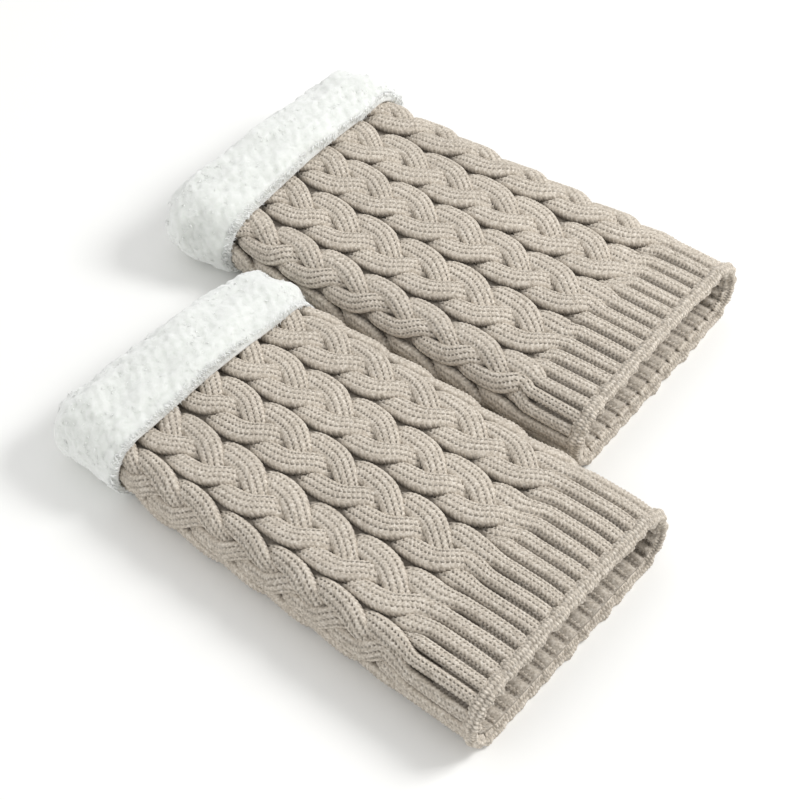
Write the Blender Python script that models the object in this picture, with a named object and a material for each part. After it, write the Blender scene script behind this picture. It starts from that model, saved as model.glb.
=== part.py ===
"""A pair of cable-knit boot cuffs with plush turnovers, laid flat side by side on a table.

Each cuff is an open knitted tube, pressed to a flat stadium section: a cabled leg, then a ribbed welt
at the hem. A plush strip is sewn inside the leg's top edge and turned out over it. Metres, +Z up. The
near cuff lies along X with its hem towards +X, and the far cuff lies beside it, turned a few degrees.
The origin is the bottom centre of the pair's box.
"""
import math

import bpy
import numpy as np

MM = 0.001

# Driving sizes, in millimetres
KNIT_WALL = 5.0          # bulky cable and rib knit, crest of the outer wales to the inner face
SEAM_GAP = 0.3           # between pieces that are sewn or knitted together
LEG_END = 131.0          # where the cables run out into the ribs, measured from the turnover's lower edge
FACING_DEPTH = 15.0      # how far the plush strip reaches down inside the leg's top edge
FACING_THICKNESS = 3.3   # plush pressed flat inside the opening
CABLE_COUNT = 11         # plaits round the tube
CABLE_GUTTER = 1.6       # depth of the furrow between two plaits
RIBS_PER_CABLE = 3
RIB_FURROW = 1.4         # depth of the furrow between two ribs
HEM_ROUNDING = 1.4       # how much the linked hem edge rounds off on each face
POINTS_ROUND = 66        # six to a cable, two to a rib

# Knitted tube, a row for each section. along: from the turnover's lower edge towards the hem. slant: how
# much further along the far side is than the near side. shift: sideways offset of the section's centre.
# half: half the flat width. low, high: heights of the underside and of the top. crown: extra rise at mid top.
KNIT_COLUMNS = ("along", "slant", "shift", "half", "low", "high", "crown")
NEAR_KNIT = (
    (-34.0, 0.0, 0.0, 54.5, 3.6, 26.8, 1.0),
    (-20.0, 0.0, 0.0, 56.5, 3.6, 28.0, 1.5),
    (-4.0, 0.0, 0.0, 58.5, 2.6, 29.5, 2.0),
    (14.0, -0.3, 0.0, 60.6, 0.0, 30.8, 2.0),
    (45.0, -0.6, 0.0, 61.4, 0.0, 31.6, 2.0),
    (80.0, -1.0, 0.0, 61.8, 0.0, 32.2, 2.0),
    (115.0, -1.6, 0.2, 62.2, 0.0, 32.0, 2.0),
    (145.0, -2.2, 0.8, 62.8, 0.0, 32.0, 2.0),
    (165.0, -2.7, 0.8, 62.8, 0.0, 32.2, 1.8),
    (178.0, -3.0, 0.0, 61.8, 0.0, 32.0, 1.5),
)
FAR_KNIT = (
    (-30.0, 0.0, 0.0, 55.0, 3.6, 28.5, 1.0),
    (-18.0, 0.0, 0.0, 57.0, 3.6, 30.0, 1.5),
    (-2.0, 0.0, 0.0, 59.0, 2.6, 31.0, 2.0),
    (14.0, 0.0, 0.2, 60.2, 0.0, 31.6, 2.0),
    (45.0, 0.0, 0.2, 60.8, 0.0, 32.0, 2.0),
    (80.0, 0.0, 0.0, 61.4, 0.0, 32.2, 2.0),
    (115.0, 0.0, 0.0, 61.5, 0.0, 32.0, 2.0),
    (145.0, 0.0, 0.0, 61.6, 0.0, 31.8, 2.0),
    (165.0, 0.0, 0.0, 61.6, 0.0, 32.0, 1.8),
    (180.0, 0.0, 0.0, 61.2, 0.0, 32.0, 1.5),
)

# Outer face of the plush turnover, from its lower edge back to the fold, in the same columns
NEAR_PLUSH = (
    (-5.0, -3.0, -0.9, 60.8, 0.0, 32.5, 2.5),
    (-12.0, -1.0, -1.2, 61.2, 0.0, 34.0, 3.0),
    (-24.0, 1.5, -1.4, 61.0, 0.0, 34.0, 3.0),
    (-34.0, 4.0, -1.2, 60.0, 0.0, 32.0, 3.0),
    (-39.5, 5.0, -0.8, 57.5, 0.8, 28.5, 2.0),
)
FAR_PLUSH = (
    (-3.0, 3.0, 0.0, 62.6, 0.0, 36.5, 3.0),
    (-9.0, 3.5, -1.6, 64.6, 0.0, 39.0, 3.0),
    (-20.0, 4.5, -2.4, 65.6, 0.0, 40.0, 3.0),
    (-30.0, 6.5, -2.4, 63.6, 0.0, 38.0, 3.0),
    (-35.0, 8.0, -1.6, 59.6, 1.2, 32.5, 2.0),
)
FOLD_REACH = 3.6         # how far the plush fold's nose stands beyond its last outer section

# place and turn: where the cuff lies on the table, in millimetres and degrees. gutterShift: how far the
# furrow between two plaits lies from the bottom centre line, as a share of a plait's width.
CUFFS = {
    "near": {"knit": NEAR_KNIT, "plush": NEAR_PLUSH, "place": (0.0, 0.0), "turn": 0.0, "gutterShift": 0.38},
    "far": {"knit": FAR_KNIT, "plush": FAR_PLUSH, "place": (-55.6, 119.3), "turn": 3.29, "gutterShift": 0.02},
}

FINISHES = {  # linear base colour and roughness
    "cable_leg": ((0.50, 0.43, 0.35), 0.92),
    "rib_welt": ((0.47, 0.40, 0.33), 0.92),
    "plush_turnover": ((0.88, 0.89, 0.87), 0.95),
}


def sectionAt(table, along):
    """One row of sizes between the rows of a table, as a dictionary by column name."""
    rows = sorted(table)
    places = [row[0] for row in rows]
    return {name: float(np.interp(along, places, [row[k] for row in rows]))
            for k, name in enumerate(KNIT_COLUMNS)} | {"along": along}


def outline(section, gutterShift, outset=0.0):
    """Points round a stadium section, equally spaced, from the first gutter towards the far side.

    The sides are half circles, the underside is straight, and the top has a cosine crown. outset moves
    each point out along the outline's normal. Returns sideways and height as two arrays.
    """
    reach = 0.5 * (section["high"] - section["low"])
    flat = section["half"] - reach
    steps = np.linspace(0.0, 1.0, 80, endpoint=False)
    turn = np.pi * steps - 0.5 * np.pi
    across = flat - 2.0 * flat * steps
    rise = section["crown"] * np.cos(0.5 * np.pi * across / flat) ** 2
    side = np.concatenate([flat * steps, flat + reach * np.cos(turn), across,
                           -flat - reach * np.cos(turn), flat * steps - flat])
    height = np.concatenate([0.0 * steps, reach + reach * np.sin(turn), 2.0 * reach + rise,
                             reach - reach * np.sin(turn), 0.0 * steps])
    ring = np.stack([np.append(side, side[0]), np.append(height, height[0])])
    length = np.concatenate([[0.0], np.cumsum(np.hypot(*np.diff(ring)))])
    wanted = (np.arange(POINTS_ROUND) / POINTS_ROUND + gutterShift / CABLE_COUNT) * length[-1]
    side, height = (np.interp(wanted, length, values) for values in ring)
    tangent = np.stack([np.roll(side, -1) - np.roll(side, 1), np.roll(height, -1) - np.roll(height, 1)])
    tangent /= np.hypot(*tangent)
    side = side + outset * tangent[1] + section["shift"]
    return side, height - outset * tangent[0] + section["low"]


def furrows(section, gutterShift, count, depth):
    """Inward depth at each point round the section: furrows that fade out where the underside rests."""
    share = np.arange(POINTS_ROUND) / POINTS_ROUND
    _, height = outline(section, gutterShift)
    lift = np.clip((height - section["low"]) / (0.3 * (section["high"] - section["low"])), 0.0, 1.0)
    return depth * lift * np.maximum(0.0, np.cos(2.0 * np.pi * count * share)) ** 2


def ringPoints(cuff, section, outset=0.0):
    """Section points in the part's frame, in metres: slanted, turned and moved to the cuff's place."""
    side, height = outline(section, cuff["gutterShift"], outset)
    along = section["along"] + 0.5 * section["slant"] * (side - section["shift"]) / section["half"]
    turn = math.radians(cuff["turn"])
    x = cuff["place"][0] + along * math.cos(turn) - side * math.sin(turn)
    y = cuff["place"][1] + along * math.sin(turn) + side * math.cos(turn)
    return np.stack([x, y, height], axis=1) * MM


def finish(name, kind):
    """Principled material of a piece, in its kind's colour and roughness."""
    colour, roughness = FINISHES[kind]
    material = bpy.data.materials.new(name)
    material.use_nodes = True
    shader = material.node_tree.nodes["Principled BSDF"]
    shader.inputs["Base Color"].default_value = (*colour, 1.0)
    shader.inputs["Roughness"].default_value = roughness
    shader.inputs["Metallic"].default_value = 0.0
    return material


def ringSolid(name, kind, rings):
    """Closed solid from rings of points: up the outer face to the top edge, then down the inner one."""
    points = np.concatenate(rings)
    here = np.arange(len(points)).reshape(len(rings), POINTS_ROUND)
    onward = np.roll(here, -1, axis=0)
    quads = np.stack([here, onward, np.roll(onward, -1, axis=1), np.roll(here, -1, axis=1)], axis=-1)
    mesh = bpy.data.meshes.new(name)
    mesh.from_pydata(points.tolist(), [], quads.reshape(-1, 4).tolist())
    mesh.shade_smooth()
    mesh.set_sharp_from_angle(angle=math.radians(50))
    mesh.materials.append(finish(name, kind))
    solid = bpy.data.objects.new(name, mesh)
    bpy.context.collection.objects.link(solid)
    return solid


def knitPiece(name, kind, cuff, start, end, count, depth, rounding=0.0):
    """Length of knitted tube: outer rings with furrows from start to end, then the smooth inner rings.

    rounding takes that much off both faces at the very end, which makes a rounded edge.
    """
    table = cuff["knit"]
    places = [start] + [row[0] for row in table if start + 4.0 < row[0] < end - 4.0] + [end - rounding]
    outer, inner = [], []
    for along in places:
        section = sectionAt(table, along)
        face = ringPoints(cuff, section)
        back = ringPoints(cuff, section, -KNIT_WALL)
        sunk = furrows(section, cuff["gutterShift"], count, depth)[:, None] / KNIT_WALL
        outer.append(face + (back - face) * sunk)
        inner.append(back)
    if rounding:
        section = sectionAt(table, end)
        outer.append(ringPoints(cuff, section, -rounding))
        inner.append(ringPoints(cuff, section, rounding - KNIT_WALL))
    return ringSolid(name, kind, outer[::-1] + inner)


def plushPiece(name, cuff):
    """Plush strip turned out over the top edge: the band outside, the fold, and the facing inside.

    Its knit side follows the knitted tube at the seam gap, and its outer side follows its own table.
    """
    knit, band = cuff["knit"], cuff["plush"]
    topEdge = knit[0][0]
    lowerEdge = band[0][0]
    inside = -KNIT_WALL - SEAM_GAP
    rings = []
    covered = [row[0] for row in knit if topEdge < row[0] < lowerEdge]
    for along in [lowerEdge] + covered[::-1] + [topEdge - SEAM_GAP]:  # band, against the knit's outer face
        rings.append(ringPoints(cuff, sectionAt(knit, along), SEAM_GAP))
    for along in (topEdge - SEAM_GAP, topEdge + FACING_DEPTH):       # round the edge and down inside
        rings.append(ringPoints(cuff, sectionAt(knit, along), inside))
    for along in (topEdge + FACING_DEPTH, topEdge + 2.0):            # facing's inner face, back up
        rings.append(ringPoints(cuff, sectionAt(knit, along), inside - FACING_THICKNESS))
    nose = sectionAt(band, band[-1][0])
    throat = sectionAt(knit, topEdge) | {"slant": nose["slant"]}
    rings.append(ringPoints(cuff, throat | {"along": nose["along"] - 1.0}, inside))
    rings.append(ringPoints(cuff, throat | {"along": nose["along"] - FOLD_REACH}, -0.4 * KNIT_WALL))
    for row in band[::-1]:                                           # outer face, down to the lower edge
        rings.append(ringPoints(cuff, sectionAt(band, row[0])))
    return ringSolid(name, "plush_turnover", rings[::-1])


def centreOnFloor(solids):
    """Moves every solid by the same amount, so that the pair's box stands centred on the origin."""
    corners = np.concatenate([[vertex.co for vertex in solid.data.vertices] for solid in solids])
    low, high = corners.min(axis=0), corners.max(axis=0)
    offset = np.array([0.5 * (low[0] + high[0]), 0.5 * (low[1] + high[1]), low[2]])
    for solid in solids:
        points = np.array([vertex.co for vertex in solid.data.vertices]) - offset
        solid.data.vertices.foreach_set("co", points.ravel())
        solid.data.update()


def main():
    for old in list(bpy.data.objects):
        bpy.data.objects.remove(old, do_unlink=True)
    solids = []
    for side, cuff in CUFFS.items():
        top, hem = cuff["knit"][0][0], cuff["knit"][-1][0]
        solids.append(knitPiece(f"{side}_cable_leg", "cable_leg", cuff, top, LEG_END,
                                CABLE_COUNT, CABLE_GUTTER))
        solids.append(knitPiece(f"{side}_rib_welt", "rib_welt", cuff, LEG_END + SEAM_GAP, hem,
                                CABLE_COUNT * RIBS_PER_CABLE, RIB_FURROW, HEM_ROUNDING))
        solids.append(plushPiece(f"{side}_plush_turnover", cuff))
    centreOnFloor(solids)


main()
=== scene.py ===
import math

import bpy
import numpy as np
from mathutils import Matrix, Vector


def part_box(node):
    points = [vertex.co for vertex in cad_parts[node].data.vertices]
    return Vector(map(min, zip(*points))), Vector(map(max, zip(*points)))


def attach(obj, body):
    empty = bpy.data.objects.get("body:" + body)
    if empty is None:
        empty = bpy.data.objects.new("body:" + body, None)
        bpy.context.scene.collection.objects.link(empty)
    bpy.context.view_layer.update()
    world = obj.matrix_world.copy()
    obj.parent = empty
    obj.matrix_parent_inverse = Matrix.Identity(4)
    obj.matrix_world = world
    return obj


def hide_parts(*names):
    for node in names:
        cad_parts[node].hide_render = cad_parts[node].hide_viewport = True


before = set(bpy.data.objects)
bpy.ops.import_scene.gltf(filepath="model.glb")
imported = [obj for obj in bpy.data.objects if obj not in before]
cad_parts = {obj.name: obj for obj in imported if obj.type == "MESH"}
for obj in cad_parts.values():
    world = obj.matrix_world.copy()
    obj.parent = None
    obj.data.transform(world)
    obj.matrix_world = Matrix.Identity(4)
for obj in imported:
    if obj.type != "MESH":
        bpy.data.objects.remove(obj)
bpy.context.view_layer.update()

# Lengths are millimetres in the cuff's own place: along runs from the turnover's lower edge to the hem,
# share is turns round the tube from the middle of its underside, and depth is inwards from the wale crests.
mm = 0.001
rng = np.random.default_rng(7)
columnNames = ("along", "slant", "shift", "half", "low", "high", "crown")
around = 282.0            # round the tube at the wale crests

nearCuff = {
    "name": "near",
    "knit": ((-34, 0, 0, 54.5, 3.6, 26.8, 1), (-20, 0, 0, 56.5, 3.6, 28, 1.5), (-4, 0, 0, 58.5, 2.6, 29.5, 2),
             (14, -0.3, 0, 60.6, 0, 30.8, 2), (45, -0.6, 0, 61.4, 0, 31.6, 2), (80, -1, 0, 61.8, 0, 32.2, 2),
             (115, -1.6, 0.2, 62.2, 0, 32, 2), (145, -2.2, 0.8, 62.8, 0, 32, 2),
             (165, -2.7, 0.8, 62.8, 0, 32.2, 1.8), (178, -3, 0, 61.8, 0, 32, 1.5)),
    "plush": ((-3.5, 0, -1.8, 60.7, 0, 33.5, 3), (-12, 1.5, -1.5, 61.4, 0, 35.5, 3.4),
              (-24, 3, -1.2, 61.7, 0, 35.5, 3.4),
              (-34, 5, -0.9, 60.8, 0, 33, 3), (-39.5, 6, -0.4, 58, 0.8, 29, 2)),
    "place": (0.0, 0.0), "turn": 0.0,
    "cutLength": 0.212, "gutterShift": 0.38,      # of a plait's width, from the bottom centre line
    "leafAt": 10.6,           # where a strand first lies furthest to the near side
    "repeat": 23.8,           # from one crossing to the next like it
    "ribsFrom": 143.0,
    # soft dents: along, share, length, width, depth
    "dents": ((38, 0.43, 34, 16, 0.9), (96, 0.57, 46, 20, 1.1), (150, 0.46, 22, 26, 0.7),
              (70, 0.72, 40, 12, 1.0), (30, 0.27, 30, 12, 0.8), (120, 0.3, 36, 10, 1.0),
              (12, 0.6, 20, 14, 0.7)),
}
farCuff = {
    "name": "far",
    "knit": ((-30, 0, 0, 55, 3.6, 28.5, 1), (-18, 0, 0, 57, 3.6, 30, 1.5), (-2, 0, 0, 59, 2.6, 31, 2),
             (14, 0, 0.2, 60.2, 0, 31.6, 2), (45, 0, 0.2, 60.8, 0, 32, 2), (80, 0, 0, 61.4, 0, 32.2, 2),
             (115, 0, 0, 61.5, 0, 32, 2), (145, 0, 0, 61.6, 0, 31.8, 2), (165, 0, 0, 61.6, 0, 32, 1.8),
             (180, 0, 0, 61.2, 0, 32, 1.5)),
    "plush": ((-2, 4.5, 0.8, 63.4, 0, 36.5, 3), (-9, 5, -0.6, 65.4, 0, 39, 3),
              (-20, 5.5, -1.6, 66.2, 0, 40, 3), (-30, 6.5, -2.4, 63.6, 0, 38, 3),
              (-35, 8, -1.6, 59.6, 1.2, 32.5, 2)),
    "place": (-55.6, 119.3), "turn": 3.29,
    "cutLength": 0.210, "gutterShift": 0.02, "leafAt": -2.6, "repeat": 24.1, "ribsFrom": 150.0,
    "dents": ((52, 0.52, 40, 18, 1.2), (20, 0.4, 26, 14, 0.8), (110, 0.42, 30, 16, 0.9),
              (140, 0.58, 24, 22, 0.8), (85, 0.7, 40, 12, 0.9), (60, 0.27, 44, 12, 1.0)),
}

# Corner of the near leg in its own millimetres, and so where the pair's own origin stands in the frame
nearLegCorner = (-34.0, -61.568)
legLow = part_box("near_cable_leg")[0]
originX, originY = legLow[0] / mm - nearLegCorner[0], legLow[1] / mm - nearLegCorner[1]


def smoothRows(rows):
    # rows of a table at every millimetre, softened over 15 mm
    table = np.array(sorted(rows), float)
    places = np.arange(table[0, 0] - 20.0, table[-1, 0] + 20.0)
    window = np.hanning(17)[1:-1] / np.hanning(17).sum()
    softened = [np.convolve(np.pad(np.interp(places, table[:, 0], values), 7, mode="edge"), window, "valid")
                for values in table.T[1:]]
    return places, dict(zip(columnNames[1:], softened))


def knitSection(cuff, along):
    places, softened = cuff["rows"]
    return {name: np.interp(along, places, values) for name, values in softened.items()}


def onLoop(cuff, section, along, share, depth):
    # stadium loop: r = half height, f = half width - r, q = share * (4f + 2 pi r); straight underside, half
    # circle, top 2r + crown cos^2(pi y / 2f), half circle, straight; then moved in by depth along the normal
    share = np.asarray(share, float) % 1.0
    reach = 0.5 * (section["high"] - section["low"])
    flat = section["half"] - reach
    arc = math.pi * reach
    along, share, reach, flat, arc, depth = np.broadcast_arrays(along, share, reach, flat, arc, depth)
    crown = np.broadcast_to(section["crown"], reach.shape)
    q = share * (4.0 * flat + 2.0 * arc)
    farTurn = (q - flat) / reach - 0.5 * math.pi
    across = flat - (q - flat - arc)
    slope = crown * math.pi / (2.0 * flat) * np.sin(math.pi * np.clip(across / flat, -1, 1))
    long = np.sqrt(1.0 + slope ** 2)
    nearTurn = (q - 3.0 * flat - arc) / reach + 0.5 * math.pi
    parts = [q < flat, q < flat + arc, q < 3.0 * flat + arc, q < 3.0 * flat + 2.0 * arc]
    y = np.select(parts, [q, flat + reach * np.cos(farTurn), across, -flat + reach * np.cos(nearTurn)],
                  q - 4.0 * flat - 2.0 * arc)
    z = np.select(parts, [0.0 * q, reach + reach * np.sin(farTurn),
                          2.0 * reach + crown * np.cos(0.5 * math.pi * np.clip(across / flat, -1, 1)) ** 2,
                          reach + reach * np.sin(nearTurn)], 0.0 * q)
    ny = np.select(parts, [0.0 * q, np.cos(farTurn), slope / long, np.cos(nearTurn)], 0.0 * q)
    nz = np.select(parts, [-1.0 + 0.0 * q, np.sin(farTurn), 1.0 / long, np.sin(nearTurn)], -1.0 + 0.0 * q)
    y, z = y - depth * ny, z - depth * nz
    x = along + 0.5 * section["slant"] * y / section["half"]
    y = y + section["shift"]
    z = z + section["low"]
    turn = math.radians(cuff["turn"])
    return np.stack([originX + cuff["place"][0] + x * math.cos(turn) - y * math.sin(turn),
                     originY + cuff["place"][1] + x * math.sin(turn) + y * math.cos(turn), z], axis=-1)


def dentDepth(cuff, along, share):
    # sum of depth * exp(-(a/length)^2 - (b/width)^2), each a soft trough
    total = 0.0
    for place, where, length, width, depth in cuff["dents"]:
        aside = (share - where + 0.5) % 1.0 - 0.5
        total = total + depth * np.exp(-((along - place) / length) ** 2 - (aside * around / width) ** 2)
    return total


def onKnit(cuff, along, share, depth):
    points = onLoop(cuff, knitSection(cuff, along), along, share, depth + dentDepth(cuff, along, share))
    points[..., 2] = np.maximum(points[..., 2], 0.1)
    return points


def softNoise(points, size, seed, waves=14):
    # sum of sine waves in random directions, about size millimetres long, from -1 to 1
    draw = np.random.default_rng(seed)
    directions = draw.normal(size=(waves, 3))
    directions /= np.linalg.norm(directions, axis=1)[:, None]
    lengths = size * draw.uniform(0.7, 1.4, waves)
    phases = draw.uniform(0, 2 * math.pi, waves)
    total = sum(np.sin(2 * math.pi * (points @ d) / l + p) for d, l, p in zip(directions, lengths, phases))
    return total / math.sqrt(waves)


def smoothStep(x):
    x = np.clip(x, 0.0, 1.0)
    return x * x * (3.0 - 2.0 * x)


def gridQuads(rows, cols, closeRows=False, closeCols=True):
    # quads between neighbouring rows and columns of a grid of points numbered row by row
    here = np.arange(rows * cols).reshape(rows, cols)
    down = np.roll(here, -1, axis=0)
    quads = np.stack([here, np.roll(here, -1, axis=1), np.roll(down, -1, axis=1), down], axis=-1)
    quads = quads if closeRows else quads[:-1]
    quads = quads if closeCols else quads[:, :-1]
    return quads.reshape(-1, 4)


def makePiece(name, points, quads, caps=(), material=None, values=None, body="root"):
    # points in millimetres; caps are end faces; values are float attributes on the points
    flat = (points.reshape(-1, 3) * mm).astype(np.float32)
    a, b, c, d = (flat[quads[:, k]].astype(float) for k in range(4))
    volume = np.einsum("ij,ij->i", a, np.cross(b, c)).sum() + np.einsum("ij,ij->i", a, np.cross(c, d)).sum()
    if volume < 0:
        quads = quads[:, ::-1]
        caps = [cap[::-1] for cap in caps]
    corners = np.concatenate([quads.ravel()] + [np.asarray(cap) for cap in caps]).astype(np.int32)
    sizes = np.concatenate([np.full(len(quads), 4), [len(cap) for cap in caps]]).astype(np.int32)
    starts = np.concatenate([[0], np.cumsum(sizes)[:-1]]).astype(np.int32)
    mesh = bpy.data.meshes.new(name)
    mesh.vertices.add(len(flat))
    mesh.vertices.foreach_set("co", flat.ravel())
    mesh.loops.add(len(corners))
    mesh.loops.foreach_set("vertex_index", corners)
    mesh.polygons.add(len(sizes))
    mesh.polygons.foreach_set("loop_start", starts)
    mesh.update(calc_edges=True)
    mesh.shade_smooth()
    for label, numbers in (values or {}).items():
        attribute = mesh.attributes.new(label, "FLOAT", "POINT")
        attribute.data.foreach_set("value", numbers.astype(np.float32).ravel())
    mesh.materials.append(material)
    piece = bpy.data.objects.new(name, mesh)
    bpy.context.collection.objects.link(piece)
    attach(piece, body)
    print(f"{name}: {int((sizes - 2).sum())} triangles")
    return piece


def linear(hexColour):
    channels = [int(hexColour[k:k + 2], 16) / 255.0 for k in (0, 2, 4)]
    return tuple(c / 12.92 if c <= 0.04045 else ((c + 0.055) / 1.055) ** 2.4 for c in channels) + (1.0,)


def addNode(tree, kind, links=None, **settings):
    # one node with its settings, its unlinked inputs and its incoming links
    node = tree.nodes.new(kind)
    for key, value in settings.items():
        if key in node.inputs:
            node.inputs[key].default_value = value
        else:
            setattr(node, key, value)
    for key, source in (links or {}).items():
        tree.links.new(source, node.inputs[key])
    return node


def newMaterial(name, roughness, sheen, sheenTint):
    material = bpy.data.materials.new(name)
    material.use_nodes = True
    tree = material.node_tree
    shader = tree.nodes["Principled BSDF"]
    shader.inputs["Roughness"].default_value = roughness
    shader.inputs["IOR"].default_value = 1.54
    shader.inputs["Specular IOR Level"].default_value = 0.25
    shader.inputs["Sheen Weight"].default_value = sheen
    shader.inputs["Sheen Roughness"].default_value = 0.6
    shader.inputs["Sheen Tint"].default_value = linear(sheenTint)
    return material, tree, shader


mixFactor, mixColourA, mixColourB, mixResult = 0, 6, 7, 2

knitLook = {
    "yarn": "CFC5B7", "pale": "E8E0D4", "dark": "AAA092", "shadow": "40372E",
    "roughness": 0.93, "sheen": 0.25,
    "speckleSize": 1.1,       # mm, light and dark fibres of a heather yarn
    "driftSize": 26.0,        # mm, slow change of shade from one ball of yarn
    "fibreSize": 0.35,        # mm, drawn coarser than real fibre so that it shows
}


def makeKnitMaterial(name):
    # Wool and acrylic heather yarn: matt, a soft nap at grazing angles, light and dark fibres mixed; painted
    # shade darkens it towards a shadow colour wherever an attribute on the points asks
    look = knitLook
    material, tree, shader = newMaterial(name, look["roughness"], look["sheen"], look["pale"])
    place = addNode(tree, "ShaderNodeTexCoord").outputs["Object"]
    speckle = addNode(tree, "ShaderNodeTexNoise", {"Vector": place}, Scale=1.0 / (look["speckleSize"] * mm),
                      Detail=2.0, Roughness=0.6)
    drift = addNode(tree, "ShaderNodeTexNoise", {"Vector": place}, Scale=1.0 / (look["driftSize"] * mm),
                    Detail=1.0)
    fibre = addNode(tree, "ShaderNodeTexNoise", {"Vector": place}, Scale=1.0 / (look["fibreSize"] * mm),
                    Detail=3.0)
    ramp = addNode(tree, "ShaderNodeValToRGB", {"Fac": speckle.outputs["Fac"]})
    ramp.color_ramp.elements[0].position = 0.3
    ramp.color_ramp.elements[0].color = linear(look["dark"])
    ramp.color_ramp.elements[1].position = 0.7
    ramp.color_ramp.elements[1].color = linear(look["pale"])
    middle = ramp.color_ramp.elements.new(0.5)
    middle.color = linear(look["yarn"])
    driftShade = addNode(tree, "ShaderNodeMapRange", {"Value": drift.outputs["Fac"]},
                         **{"From Min": 0.3, "From Max": 0.7, "To Min": 0.95, "To Max": 1.04})
    shaded = addNode(tree, "ShaderNodeVectorMath",
                     {0: ramp.outputs["Color"], "Scale": driftShade.outputs["Result"]}, operation="SCALE")
    # painted shade: the points' painted-shade amount mixes the yarn colour towards the shadow colour in
    # holes, gutters, furrows and inside the tube
    paintedShade = addNode(tree, "ShaderNodeAttribute", attribute_name="paintedShade")
    blend = addNode(tree, "ShaderNodeMix", data_type="RGBA")            # its colour sockets go by number
    blend.inputs[mixColourB].default_value = linear(look["shadow"])
    tree.links.new(paintedShade.outputs["Fac"], blend.inputs[mixFactor])
    tree.links.new(shaded.outputs["Vector"], blend.inputs[mixColourA])
    tree.links.new(blend.outputs[mixResult], shader.inputs["Base Color"])
    bump = addNode(tree, "ShaderNodeBump", {"Height": fibre.outputs["Fac"]}, Strength=0.5, Distance=0.25 * mm)
    tree.links.new(bump.outputs["Normal"], shader.inputs["Normal"])
    return material


plushLook = {
    # the locks' colours are painted paler than the band's: painted light standing in for the light that
    # passes through the pile, since the locks carry no subsurface light
    "pile": "E2E4E0", "root": "DEE1DC", "paintedLitLock": "F6F7F5", "paintedLitLockDip": "F2F4F1",
    "roughness": 0.95, "sheen": 0.5, "sheenTint": "FFFFFF",
    "curlSize": 2.2,          # mm, clumps of pile
    "fibreSize": 0.5,         # mm, drawn coarser than real fibre so that it shows
    "lightReach": 4.0,        # mm, how far light wanders in the pile
}


def makePlushMaterial(name, pile, root, through):
    # Sherpa fleece: knitted polyester pile, matt white, soft with light passing from lock to lock; through is
    # the share of light that passes, none on the locks, which are too thin for it to wander in
    look = plushLook
    material, tree, shader = newMaterial(name, look["roughness"], look["sheen"], look["sheenTint"])
    place = addNode(tree, "ShaderNodeTexCoord").outputs["Object"]
    curl = addNode(tree, "ShaderNodeTexNoise", {"Vector": place}, Scale=1.0 / (look["curlSize"] * mm),
                   Detail=3.0, Distortion=1.2)
    fibre = addNode(tree, "ShaderNodeTexNoise", {"Vector": place}, Scale=1.0 / (look["fibreSize"] * mm),
                    Detail=2.0)
    # painted shade: the darker root colour sits where the curl noise is low, in the dips that the coarse bump
    # sinks; the locks get the same
    ramp = addNode(tree, "ShaderNodeValToRGB", {"Fac": curl.outputs["Fac"]})
    ramp.color_ramp.elements[0].position = 0.35
    ramp.color_ramp.elements[0].color = linear(root)
    ramp.color_ramp.elements[1].position = 0.6
    ramp.color_ramp.elements[1].color = linear(pile)
    tree.links.new(ramp.outputs["Color"], shader.inputs["Base Color"])
    coarse = addNode(tree, "ShaderNodeBump", {"Height": curl.outputs["Fac"]},
                     Strength=0.35, Distance=0.6 * mm)
    fine = addNode(tree, "ShaderNodeBump",
                   {"Height": fibre.outputs["Fac"], "Normal": coarse.outputs["Normal"]},
                   Strength=0.25, Distance=0.2 * mm)
    tree.links.new(fine.outputs["Normal"], shader.inputs["Normal"])
    shader.inputs["Subsurface Weight"].default_value = through
    shader.inputs["Subsurface Radius"].default_value = (1.0, 1.0, 1.0)
    shader.inputs["Subsurface Scale"].default_value = look["lightReach"] * mm
    return material


plaits = {
    "count": 11,
    "swing": 7.7,             # sideways reach of a strand's centre line
    # over half a turn, from coming up at one side (0) to coming up at the other (1): a strand's place towards
    # its own side (leaf near, hook far), its height, and its share of the full width
    "at":        (0.0, 0.05, 0.12, 0.22, 0.34, 0.44, 0.53, 0.62, 0.72, 0.82, 0.90, 0.96, 1.0),
    "leaf":      (1.0, 1.03, 1.05, 1.06, 1.04, 0.97, 0.80, 0.46, 0.06, -0.20, -0.48, -0.76, -0.96),
    "hook":      (0.96, 0.98, 0.98, 0.97, 0.91, 0.82, 0.68, 0.44, 0.14, -0.20, -0.52, -0.80, -1.0),
    "rise":      (-2.0, -0.7, 0.3, 0.7, 1.1, 1.5, 1.9, 1.9, 1.1, -0.4, -1.7, -2.6, -2.7),
    "leafWidth": (0.86, 0.87, 0.90, 0.91, 0.91, 0.90, 0.87, 0.83, 0.87, 1.0, 1.04, 0.98, 0.92),
    "hookWidth": (0.92, 0.94, 0.98, 1.04, 1.07, 1.06, 1.02, 0.96, 0.92, 0.90, 0.90, 0.88, 0.86),
    "dives": (0.85, 0.965),   # stretch of a half turn that lies hidden under a crossing
    "base": 4.7,              # depth of a strand's edges half way between over and under
    "deepest": 5.2,           # past this depth a strand is pressed flat on the ground cloth
    "turnUnder": 1.5, "edgeDepth": 5.5,       # how far and how deep a strand's edges turn under
    "strandWidth": 11.0, "strandHeight": 3.4,
    "wales": 4,               # columns of stitches on a strand
    "course": 1.78,           # length of one stitch
    # depths of the line between wales, a wale's middle, the line between rows and the holes; unevenness
    "groove": 0.18, "waleDip": 0.14, "rowDip": 0.3, "pit": 1.1, "uneven": 0.06,
    "skew": 0.55,             # of a course, how far a V's arms trail behind its point
    "start": -8.0, "end": 175.0,
}
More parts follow.
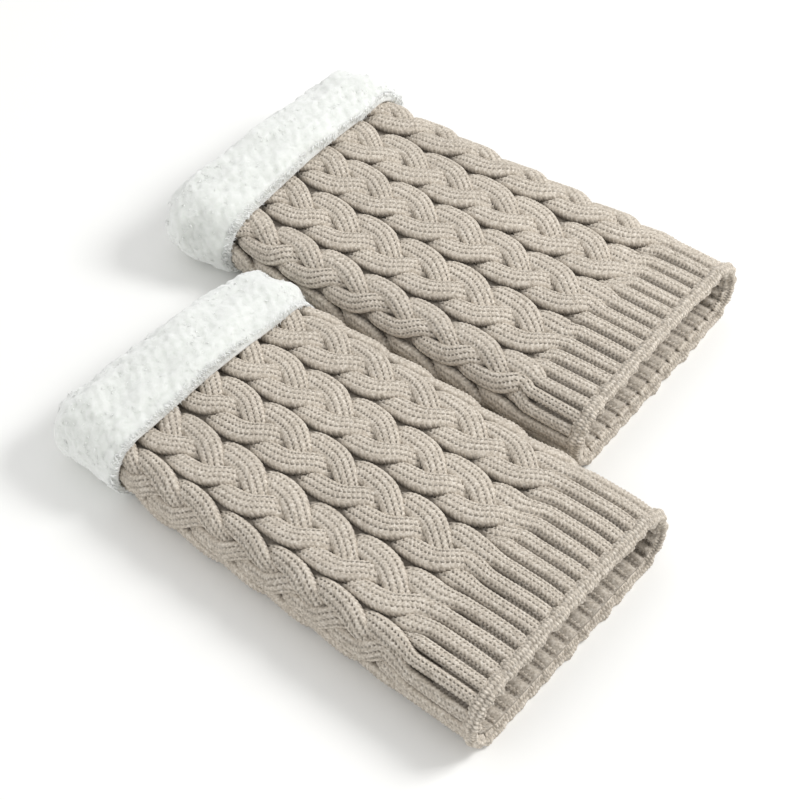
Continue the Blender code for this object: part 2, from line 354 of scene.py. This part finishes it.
ribs = {
    "extraAfter": (1, 4, 6, 9),   # plaits followed by a rib of their gutter's own stitches
    "height": 3.2, "furrow": 1.05, "base": 3.6,
    "standing": 0.84,             # of a rib's width stands up, the rest is the furrow
    "wobble": 0.35,
    "insideBase": 4.7, "insideHeight": 0.42, "insideFrom": 154.0, "insideEnd": 1.3,
    "lipLength": 2.4, "lipDepth": 2.0,        # where an inside rib rounds over into the hem's edge
}
ribCount = 3 * plaits["count"] + len(ribs["extraAfter"])
# painted shade: how much each kind of recess takes of the yarn's shadow colour, for the attribute that the
# material reads
shade = {
    "border": 0.06, "hole": 0.62, "row": 0.1, "furrow": 0.4, "ribSide": 0.15, "insideFurrow": 0.3,
    "gutter": 0.62, "gutterFrom": 2.6, "gutterOver": 2.2,     # gutters darken between these depths
    "turnedEdge": 0.7, "ground": 0.75, "most": 0.95,
    "coarse": 0.5,            # share of all that on strands with few points a wale
}


def ribShares(cuff):
    # centre of each strand's rib, one row a plait, and of the extra ribs, spread evenly round the tube
    before = np.array([sum(1 for e in ribs["extraAfter"] if e < k) for k in range(plaits["count"])])
    slots = 3 * np.arange(plaits["count"])[:, None] + before[:, None] + np.arange(3)[None, :]
    centres = (np.arange(plaits["count"]) + 0.5 + cuff["gutterShift"]) / plaits["count"]
    offset = np.mean(centres - (slots[:, 1] + 0.5) / ribCount)
    extra = np.array([3 * (e + 1) + before[e] for e in ribs["extraAfter"]])
    return (slots + 0.5) / ribCount + offset, (extra + 0.5) / ribCount + offset


def knitStrand(cuff, path, detail, draw, inside=False):
    # ribbon of wales along a path, w across from -0.5 to 0.5 and t along it:
    # depth = base - lift - height * sqrt(1 - 0.95 |2w|^2.4) - relief of the stitches
    perWale, perCourse = detail
    along, share, lift, ribness, width, hidden = path
    lengths = np.concatenate([[0], np.cumsum(np.hypot(np.diff(along), np.diff(share) * around))])
    rows = int(lengths[-1] / plaits["course"] * perCourse)
    steps = np.arange(rows) / perCourse * plaits["course"]
    order = np.arange(rows)
    buried = np.interp(steps, lengths, hidden) > 0.5                # there only one row a course is kept
    order = order[~buried | (order % perCourse == 0)]
    steps, rows = steps[order], len(order)
    columns = plaits["wales"] * perWale
    w = np.arange(columns + 1) / columns - 0.5
    inWale = np.abs((np.arange(columns + 1) % perWale) / (0.5 * perWale) - 1.0)   # 1 at a border, 0 mid
    t = steps[:, None] + plaits["skew"] * plaits["course"] * inWale[None, :]

    def at(values, where):
        return np.interp(where, lengths, values)

    tangentAlong = np.gradient(along, lengths)
    tangentShare = np.gradient(share, lengths) * around
    size = np.hypot(tangentAlong, tangentShare)
    acrossAlong, acrossShare = -tangentShare / size, tangentAlong / size
    rib = at(ribness, t)
    fullWidth = at(width, t)
    across = w[None, :] * fullWidth
    a = at(along, t) + across * at(acrossAlong, t)
    s = at(share, t) + across * at(acrossShare, t) / around
    rounding = np.abs(2.0 * w) ** 2.4
    strandCrown = plaits["strandHeight"] * np.sqrt(np.clip(1.0 - 0.95 * rounding, 0, 1))
    onRib = np.clip((w + 0.5) / ribs["standing"], 0, 1)
    inFurrow = w > ribs["standing"] - 0.51
    standing = ribs["height"] * np.sqrt(np.clip(1.0 - 0.92 * np.abs(2 * onRib - 1) ** 2.6, 0, 1))
    ribCrown = np.where(inFurrow, -ribs["furrow"], standing)
    crown = (1 - rib) * strandCrown[None, :] + rib * ribCrown[None, :]
    phase = (order % perCourse)[:, None]
    rowHeight = np.where(phase == 0, -plaits["rowDip"], 0.5 * plaits["rowDip"])
    border = inWale[None, :] > 0.9
    relief = rowHeight - plaits["groove"] * border - plaits["waleDip"] * (inWale[None, :] < 0.1)
    hole = border * np.where(phase == 0, 1.0, np.where((phase == 1) & (perCourse > 2), 0.7, 0.0))
    relief = relief - plaits["pit"] * hole
    relief = relief + draw.normal(0, plaits["uneven"], relief.shape)
    base = (1 - rib) * plaits["base"] + rib * ribs["base"]
    depth = base - at(lift, t) - crown - relief
    depth = np.minimum(depth, plaits["deepest"] + 0.1 * (depth - plaits["deepest"]))
    if inside:
        overEdge = smoothStep((a - along[-1]) / ribs["lipLength"] + 1.0) ** 1.3
        depth = ribs["insideBase"] + ribs["insideHeight"] * crown + relief
        depth = depth + overEdge * (ribs["lipDepth"] - depth)
        sunkShade = shade["insideFurrow"] * (overEdge < 0.3) * (crown < 1.0)
    else:
        sunkShade = shade["gutter"] * np.clip((depth - shade["gutterFrom"]) / shade["gutterOver"], 0, 1)
    # painted shade: set above for the gutters by their depth and for the inside ribs' furrows, here for the
    # wale borders, the holes and the hole rows, then on the outside for the rib furrows and rib sides
    stitches = shade["border"] * border + shade["hole"] * hole + shade["row"] * (phase == 0)
    paintedShade = np.clip(stitches + sunkShade, 0, shade["most"])
    if not inside:
        ribSide = np.abs(w + 0.08) > 0.38
        paintedShade = paintedShade + shade["furrow"] * rib * inFurrow + shade["ribSide"] * rib * ribSide
        paintedShade = np.clip(paintedShade, 0, shade["most"])
    if perWale < 4:
        paintedShade = shade["coarse"] * paintedShade

    def edge(k):                    # one more column at each side turns under, so a strand's edge is round; it gets a fixed painted shade
        over = 0.93 * w[k] * fullWidth[:, k]
        if inside:
            edgeDepth = depth[:, k] - 1.2 * (1 - overEdge[:, k])
        else:
            edgeDepth = np.minimum(depth[:, k] + plaits["turnUnder"], plaits["edgeDepth"])
        return (at(along, t[:, k]) + over * at(acrossAlong, t[:, k]),
                at(share, t[:, k]) + over * at(acrossShare, t[:, k]) / around,
                edgeDepth, np.full(rows, shade["turnedEdge"]))

    first, last = edge(0), edge(-1)
    grid = [np.concatenate([f[:, None], g, l[:, None]], axis=1)
            for f, g, l in zip(first, (a, s, depth, paintedShade), last)]
    return grid


def strandPaths(cuff, plait):
    # three strands, each a third of a turn after the last: q = (along - leafAt) / half turn + 2/3 strand;
    # over each half turn a strand comes up at its own side, runs along it, crosses over the middle and goes
    # under to the other side, as the tables in plaits say, smoothed; near the hem it straightens into a rib
    halfTurn = 1.5 * cuff["repeat"]

    def softened(values, length):                       # running mean over about twice this length
        window = np.hanning(2 * int(length / 0.18) + 3)
        return np.convolve(np.pad(values, len(window) // 2, mode="edge"), window / window.sum(), "valid")

    centre = (plait + 0.5 + cuff["gutterShift"]) / plaits["count"]
    ribPlaces = ribShares(cuff)[0][plait]
    lastLeaf = round((cuff["ribsFrom"] - 10.0 - cuff["leafAt"]) / cuff["repeat"])
    lastTip = cuff["leafAt"] + lastLeaf * cuff["repeat"]
    along = np.linspace(plaits["start"] - 8.0, plaits["end"] + 8.0, 1100)
    for strand in range(3):
        drift = 0.9 * np.sin(along / 23.0 + rng.uniform(0, 6.3))
        drift = drift + 0.4 * np.sin(along / 9.0 + rng.uniform(0, 6.3))
        turns = np.minimum(along + drift, lastTip + 3.0)        # plaiting stops at the last leaf's tip
        q = (turns - cuff["leafAt"]) / halfTurn + 2.0 * strand / 3.0
        f, isLeaf = q % 1.0, np.floor(q) % 2 == 0
        leafV = np.interp(f, plaits["at"], plaits["leaf"])
        hookV = np.interp(f, plaits["at"], plaits["hook"])
        v = plaits["swing"] * softened(np.where(isLeaf, leafV, -hookV), 2.5)
        rise = softened(np.interp(f, plaits["at"], plaits["rise"]), 1.5)
        breadth = softened(np.where(isLeaf, np.interp(f, plaits["at"], plaits["leafWidth"]),
                                    np.interp(f, plaits["at"], plaits["hookWidth"])), 2.0)
        # strand whose last leaf this is ends at the near side; the others at the far side and in the middle
        rank = {0: 2, 1: 1, 2: 0}[(strand + lastLeaf) % 3]
        m = smoothStep((along - (lastTip + 2.0 + rng.uniform(-1.5, 1.5))) / (cuff["ribsFrom"] - lastTip))
        ribWobble = ribs["wobble"] * np.sin(along / 11.0 + rng.uniform(0, 6.3))
        share = (1 - m) * (centre + v / around) + m * (ribPlaces[rank] + ribWobble / around)
        lift = (1 - m) * rise * (1 + 0.1 * np.sin(along / 31.0 + plait))
        breadth = breadth * (1 + 0.05 * np.sin(along / 14.0 + rng.uniform(0, 6.3)))
        width = (1 - m) * plaits["strandWidth"] * breadth + m * around / ribCount
        keep = (along > plaits["start"]) & (along < plaits["end"])
        buried = ((f > plaits["dives"][0]) & (f < plaits["dives"][1]) & (m < 0.01)).astype(float)
        yield along[keep], share[keep], lift[keep], m[keep], width[keep], buried[keep]


def extraRibPaths(cuff):
    # ribs of the gutters' own stitches, straight along the tube, rising and widening over the first 9 mm
    for share in ribShares(cuff)[1]:
        along = np.linspace(cuff["ribsFrom"] - 10.0 + rng.uniform(-2, 2), plaits["end"], 200)
        start = smoothStep((along - along[0]) / 9.0)
        yield (along, np.full_like(along, share), -3.0 * (1 - start), np.ones_like(along),
               (0.75 + 0.25 * start) * around / ribCount, 0 * along)


def insideRibPaths(cuff):
    # backs of the ribs inside the hem, straight along the tube, half a rib off those outside
    end = cuff["knit"][-1][0] - ribs["insideEnd"]
    for k in range(ribCount):
        along = np.linspace(ribs["insideFrom"], end + rng.uniform(-0.2, 0.2), 60)
        share = (k + 0.5) / ribCount + ribShares(cuff)[0][0, 0]
        yield (along, np.full_like(along, share), 0 * along, np.ones_like(along),
               np.full_like(along, around / ribCount), 0 * along)


def knitGroup(name, cuff, paths, detail, material, inside=False):
    # strands on the given paths as one mesh; detail is points a wale and rows a stitch
    points, quads, caps, paintedShades, offset = [], [], [], [], 0
    for path in paths:
        a, s, depth, paintedShade = knitStrand(cuff, path, detail, rng, inside)
        rows, cols = a.shape
        points.append(onKnit(cuff, a, s, depth).reshape(-1, 3))
        paintedShades.append(paintedShade.ravel())
        quads.append(gridQuads(rows, cols) + offset)
        caps.append((np.arange(cols) + offset)[::-1])
        caps.append(np.arange(cols) + offset + (rows - 1) * cols)
        offset += rows * cols
    return makePiece(name, np.concatenate(points), np.concatenate(quads), caps, material,
                     {"paintedShade": np.concatenate(paintedShades)})


shell = {
    "outer": 4.9,             # depth of its outer face, where the gutters show it
    "inner": ((15.0, 22.0, 60.0, 120.0), (5.2, 5.7, 5.8, 6.0)),      # places along, inner face's depth there
    "innerRib": 1.0, "end": 175.5, "outerRows": 24, "innerRows": 38, "columnsPerRib": 6,
    "ribsStart": 60.0,        # where the inner face's ribs begin, full size as far again
}


def makeGroundCloth(cuff, material):
    # closed tube: outer face at the gutters' depth, rounded hem end, inner face with shallow ribs
    start = cuff["knit"][0][0]
    cols = ribCount * shell["columnsPerRib"]
    share = (np.arange(cols) / cols)[None, :]
    ribPhase = np.cos(2 * math.pi * (share * ribCount - 0.5 - ribShares(cuff)[0][0, 0] * ribCount))
    outerRows, innerRows = shell["outerRows"], shell["innerRows"]
    outerPlaces = np.linspace(start, shell["end"], outerRows)
    innerPlaces = np.linspace(shell["end"], start, innerRows)
    outerDepth = np.full((outerRows, cols), shell["outer"])
    ribbed = smoothStep(innerPlaces / shell["ribsStart"] - 1.0)[:, None]
    innerDepth = np.interp(innerPlaces, *shell["inner"])[:, None]
    innerDepth = innerDepth + ribbed * shell["innerRib"] * ribPhase
    along = np.concatenate([outerPlaces, innerPlaces])[:, None] + 0 * share
    depth = np.concatenate([outerDepth, innerDepth + 0 * share])
    points = onKnit(cuff, along, share + 0 * along, depth)
    # painted shade: the outer face is darkened where it shows in the gutters, the inner face a little and
    # more in its rib furrows
    paintedShade = np.concatenate([np.full((outerRows, cols), shade["ground"]),
                             0.15 + 0.35 * ribbed * (0.5 - 0.5 * ribPhase) + 0 * share])
    quads = gridQuads(outerRows + innerRows, cols, closeRows=True)
    return makePiece(cuff["name"] + "_ground_cloth", points, quads, (), material, {"paintedShade": paintedShade})


hemEdge = {
    "rows": 6, "beadsPerRib": 5,          # beads round its oval, and along each rib's width
    "perRow": 4, "columnsPerBead": 4,
    "bead": 0.85, "halfLength": 2.5, "halfThickness": 1.5, "centreDepth": 1.7, "fromEnd": 3.2,
}


def makeHemEdge(cuff, material):
    # rolled edge: an oval carried round the tube's end and beaded by its cast-off stitches
    beads = ribCount * hemEdge["beadsPerRib"]
    cols = beads * hemEdge["columnsPerBead"]
    rows = hemEdge["rows"] * hemEdge["perRow"]
    share = (np.arange(cols) / cols)[None, :]
    turn = 2 * math.pi * (np.arange(rows) / rows)[:, None]
    centreAlong = cuff["knit"][-1][0] - hemEdge["fromEnd"]
    row = np.arange(rows)[:, None] / hemEdge["perRow"]
    # dome on each bead: sqrt(1 - 0.8 x^2 - 0.8 y^2), x and y from its middle to its edge; every other row of
    # beads stands half a bead on
    x = 2.0 * ((share * beads + 0.5 * np.floor(row)) % 1.0) - 1.0
    y = 2.0 * (row % 1.0) - 1.0 + 1.0 / hemEdge["perRow"]
    bump = np.sqrt(np.clip(1.0 - 0.8 * x ** 2 - 0.8 * y ** 2, 0, 1))
    ring = (np.cos(2 * math.pi * share) * 45 + 0 * row, np.sin(2 * math.pi * share) * 45 + 0 * row)
    wobble = softNoise(np.stack([*ring, row * 1.7 + 0 * share], axis=-1), 6.0, 11)
    size = 1.0 + 0 * share + 0.05 * wobble
    out = hemEdge["bead"] * bump * (1 + 0.4 * wobble) + 0.15 * wobble
    along = centreAlong - (hemEdge["halfLength"] * size + out) * np.cos(turn)
    depth = hemEdge["centreDepth"] - (hemEdge["halfThickness"] * size + out) * np.sin(turn)
    points = onKnit(cuff, along, share + 0 * along, depth)
    # painted shade between the beads, none on their tops
    paintedShade = np.clip(0.6 - 0.65 * bump, 0, 1)
    return makePiece(cuff["name"] + "_hem_edge", points, gridQuads(rows, cols, closeRows=True), (), material,
                     {"paintedShade": paintedShade + 0 * share})


plush = {
    "columns": 300, "rowStep": 0.95,
    "inset": 0.8,             # the band stands this far inside its table's sections, the pile fills the rest
    "lump": 0.7, "lumpSize": 16.0, "tuft": 0.26, "tuftSize": 5.0, "curl": 0.16, "curlSize": 2.4,
    "locks": 3800, "lockLength": 2.8, "lockRadius": 0.42, "rise": 0.2,
    "fringeShare": 0.35,      # of the locks hang over the lower edge
    "sink": 0.32,             # only the tops of the others stand out
    "facingDepth": 15.0, "facingThickness": 3.3, "foldReach": 3.6,
    "facingBack": 5.3,        # depth of the facing's back, just inside the knitting
}


def plushRings(cuff):
    # rows of (section, along, depth) from the turnover's lower edge, over the fold, down inside and back
    def knitRow(along, depth):
        section = {k: float(v) for k, v in knitSection(cuff, along).items()}
        return section, along, depth

    bandRows = [dict(zip(columnNames, row)) for row in cuff["plush"]]
    top = cuff["knit"][0][0]
    nose = bandRows[-1]
    throat = knitRow(top, 0)[0] | {"slant": nose["slant"]}
    rings = [knitRow(bandRows[0]["along"] + 1.0, 0.3)]
    rings += [(row, row["along"], 0.0) for row in bandRows]
    back = plush["facingBack"]
    rings += [(throat, nose["along"] - plush["foldReach"], 2.0), (throat, nose["along"] - 1.0, back)]
    inside = back + plush["facingThickness"]
    rings += [knitRow(top + a, inside) for a in (2.0, 8.0, plush["facingDepth"])]
    rings += [knitRow(top + plush["facingDepth"], back), knitRow(top - 0.3, back), knitRow(top - 0.3, 0.2)]
    return rings


def makePlush(cuff, material, lockMaterial):
    # rings joined by straight steps of rowStep, softened, then moved out along the normal by
    # lump + tuft + curl - inset, each a soft noise of its own size
    rings = plushRings(cuff)
    cols = plush["columns"]
    share = np.arange(cols) / cols
    loops = np.stack([onLoop(cuff, section, along, share, depth) for section, along, depth in rings])
    loops = np.concatenate([loops, loops[:1]])
    lengths = np.concatenate([[0], np.cumsum(np.linalg.norm(np.diff(loops, axis=0), axis=-1).mean(axis=1))])
    seen = lengths[len(rings) - 3]                                  # the rest lies against the knitting
    wanted = np.concatenate([np.arange(0, seen, plush["rowStep"]), np.arange(seen, lengths[-1], 4.0)])
    rows = len(wanted)
    index = np.clip(np.searchsorted(lengths, wanted, side="right") - 1, 0, len(loops) - 2)
    f = ((wanted - lengths[index]) / (lengths[index + 1] - lengths[index]))[:, None, None]
    points = loops[index] * (1 - f) + loops[index + 1] * f
    kernel = (1, 2, 3, 2, 1)
    points = sum(wt * np.roll(points, k - 2, axis=0) for k, wt in enumerate(kernel)) / sum(kernel)
    acrossways = np.roll(points, -1, axis=1) - np.roll(points, 1, axis=1)
    lengthways = np.roll(points, -1, axis=0) - np.roll(points, 1, axis=0)
    normal = np.cross(lengthways, acrossways)
    normal /= np.linalg.norm(normal, axis=-1)[..., None]
    visible = smoothStep(wanted / 3.0) * smoothStep((seen - wanted) / 3.0)
    centre = points.mean(axis=(0, 1))
    if np.einsum("ijk,ijk->ij", normal, points - centre)[2:20].mean() < 0:
        normal = -normal
    bumps = (plush["lump"] * softNoise(points, plush["lumpSize"], 3)
             + plush["tuft"] * softNoise(points, plush["tuftSize"], 5)
             + plush["curl"] * softNoise(points, plush["curlSize"], 6, 24))
    points = points + normal * (visible[:, None] * (bumps - plush["inset"]))[..., None]
    points[..., 2] = np.maximum(points[..., 2], 0.15)
    quads = gridQuads(rows, cols, closeRows=True)
    band = makePiece(cuff["name"] + "_plush_band", points, quads, (), material)
    locks = makeLocks(cuff, points, normal, visible, lengthways, lockMaterial)
    return band, locks


def makeLocks(cuff, points, normal, visible, lengthways, material):
    # each lock is a tapering three-sided tube: out along the normal, leaning with the comb, curling sideways
    count, levels = plush["locks"], 3
    rows, cols = points.shape[:2]
    shown = np.nonzero(visible > 0.05)[0]
    row = rng.integers(shown[0], shown[-1], count)
    fringe = rng.uniform(0, 1, count) < plush["fringeShare"]
    row = np.where(fringe, rng.integers(2, 6, count), row)
    col = rng.integers(0, cols, count)
    jitter = rng.uniform(0, 1, (count, 1))
    root = points[row, col] * (1 - jitter) + points[(row + 1) % rows, (col + 1) % cols] * jitter
    n = normal[row, col]
    comb = -lengthways[row, col]
    comb /= np.linalg.norm(comb, axis=-1)[:, None]
    side = np.cross(n, comb)
    swing = rng.normal(0, 0.9, (count, 1))
    swing = np.where(fringe[:, None], 0.4 * swing, swing)
    lean = comb * np.cos(swing) + side * np.sin(swing)
    sideways = np.cross(n, lean)
    length = plush["lockLength"] * rng.uniform(0.6, 1.25, (count, 1))
    rise = plush["rise"] * rng.uniform(0.5, 1.5, (count, 1))
    curl = rng.normal(0, 0.3, (count, 1))
    radius = plush["lockRadius"] * rng.uniform(0.7, 1.3, (count, 1))
    sink = np.where(fringe[:, None], 0.0, plush["sink"])
    rings = []
    for level in range(levels):
        t = level / (levels - 1)
        height = rise * np.sin(0.75 * math.pi * t) - 0.15 * (1 - t)
        spine = root + n * (height * length * 0.6 - sink) + lean * length * t * 0.8
        spine = spine + sideways * curl * length * math.sin(2.2 * t)
        thick = radius * (1 - t) ** 0.7 if level < levels - 1 else radius * 0.08
        for k in range(3):
            angle = 2 * math.pi * k / 3
            rings.append(spine + thick * (math.cos(angle) * n + math.sin(angle) * sideways))
    grid = np.stack(rings, axis=1)                                     # count, levels * 3, 3
    grid[..., 2] = np.maximum(grid[..., 2], 0.05)
    base = gridQuads(levels, 3)
    offsets = (np.arange(count) * levels * 3)[:, None, None]
    quads = (base[None] + offsets).reshape(-1, 4)
    feet = np.array([2, 1, 0])[None] + offsets[:, :, 0]
    tips = np.array([0, 1, 2])[None] + offsets[:, :, 0] + (levels - 1) * 3
    return makePiece(cuff["name"] + "_plush_locks", grid, quads, list(feet) + list(tips), material)


# plaits by the share of the tube that their middles lie in, with points a wale and rows a stitch
plaitGroups = (("under_near_plaits", 0.86, 1.01, (2, 2)), ("under_far_plaits", 0.0, 0.13, (2, 2)),
               ("far_side_plaits", 0.13, 0.3, (4, 2)), ("top_plaits", 0.3, 0.61, (4, 3)),
               ("near_side_plaits", 0.61, 0.86, (4, 2)))

knitMaterial = makeKnitMaterial("wool blend heather yarn")
plushMaterial = makePlushMaterial("white polyester sherpa fleece", plushLook["pile"], plushLook["root"], 1.0)
lockMaterial = makePlushMaterial("white polyester pile locks with painted light", plushLook["paintedLitLock"], plushLook["paintedLitLockDip"],
                                 0.0)
for cuff in (nearCuff, farCuff):
    cuff["rows"] = smoothRows(cuff["knit"])
    name = cuff["name"]
    ground = makeGroundCloth(cuff, knitMaterial)
    centres = ((np.arange(plaits["count"]) + 0.5 + cuff["gutterShift"]) / plaits["count"]) % 1.0
    for label, low, high, detail in plaitGroups:
        paths = [path for plait in np.nonzero((centres >= low) & (centres < high))[0]
                 for path in strandPaths(cuff, plait)]
        knitGroup(f"{name}_{label}", cuff, paths, detail, knitMaterial)
    gutterPaths = list(extraRibPaths(cuff))
    knitGroup(f"{name}_gutter_ribs", cuff, gutterPaths, (4, 3), knitMaterial)
    insidePaths = list(insideRibPaths(cuff))
    knitGroup(f"{name}_inside_ribs", cuff, insidePaths, (4, 2), knitMaterial, True)
    makeHemEdge(cuff, knitMaterial)
    band, locks = makePlush(cuff, plushMaterial, lockMaterial)
    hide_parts(f"{name}_cable_leg", f"{name}_rib_welt")
    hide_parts(f"{name}_plush_turnover")
    print(name, "cuff made")


view = {"aim": (2.8, -8.1, 0.0), "distance": 887.2, "elevation": 48.5, "azimuth": 40.24, "lens": 95.56}
floorColour = "F7F7F5"
# metres to the right of the view, away from it and up; size in metres and power in watts
light = {
    "key": {"place": (0.92, 0.12, 0.92), "size": 0.45, "power": 10.0},
    "fill": {"place": (-0.9, -0.6, 1.1), "size": 1.0, "power": 2.0},
    "sky": 0.74,
}


def makeFloor():
    mesh = bpy.data.meshes.new("floor")
    half = 3.0                # metres
    corners = [(-half, -half, 0), (half, -half, 0), (half, half, 0), (-half, half, 0)]
    mesh.from_pydata(corners, [], [(0, 1, 2, 3)])
    material, tree, shader = newMaterial("matt white paper", 0.9, 0.0, "FFFFFF")
    shader.inputs["Base Color"].default_value = linear(floorColour)
    mesh.materials.append(material)
    floor = bpy.data.objects.new("floor", mesh)
    bpy.context.collection.objects.link(floor)


def softBox(name, place, size, power):
    # square lamp that looks at the origin
    lamp = bpy.data.lights.new(name, "AREA")
    lamp.energy = power
    lamp.size = size
    box = bpy.data.objects.new(name, lamp)
    box.location = right * place[0] + away * place[1] + Vector((0, 0, place[2]))
    box.rotation_euler = (-box.location).to_track_quat("-Z", "Y").to_euler()
    bpy.context.collection.objects.link(box)


makeFloor()
turn, rise = math.radians(view["azimuth"]), math.radians(view["elevation"])
back = Vector((math.sin(turn) * math.cos(rise), -math.cos(turn) * math.cos(rise), math.sin(rise)))
right = Vector((math.cos(turn), math.sin(turn), 0.0))
away = Vector((-back.x, -back.y, 0)).normalized()
aim = Vector(view["aim"]) * mm
camera = bpy.data.objects.new("camera", bpy.data.cameras.new("camera"))
camera.data.lens = view["lens"]
camera.data.sensor_width = 36.0
camera.location = aim + back * view["distance"] * mm
camera.rotation_euler = (-back).to_track_quat("-Z", "Y").to_euler()
bpy.context.collection.objects.link(camera)
bpy.context.scene.camera = camera

softBox("key softbox", **light["key"])
softBox("fill softbox", **light["fill"])
world = bpy.data.worlds.new("pale studio")
world.use_nodes = True
world.node_tree.nodes["Background"].inputs["Color"].default_value = linear("FFFFFF")
world.node_tree.nodes["Background"].inputs["Strength"].default_value = light["sky"]
bpy.context.scene.world = world
bpy.context.scene.view_settings.view_transform = "Standard"
print("floor, camera and lights set")
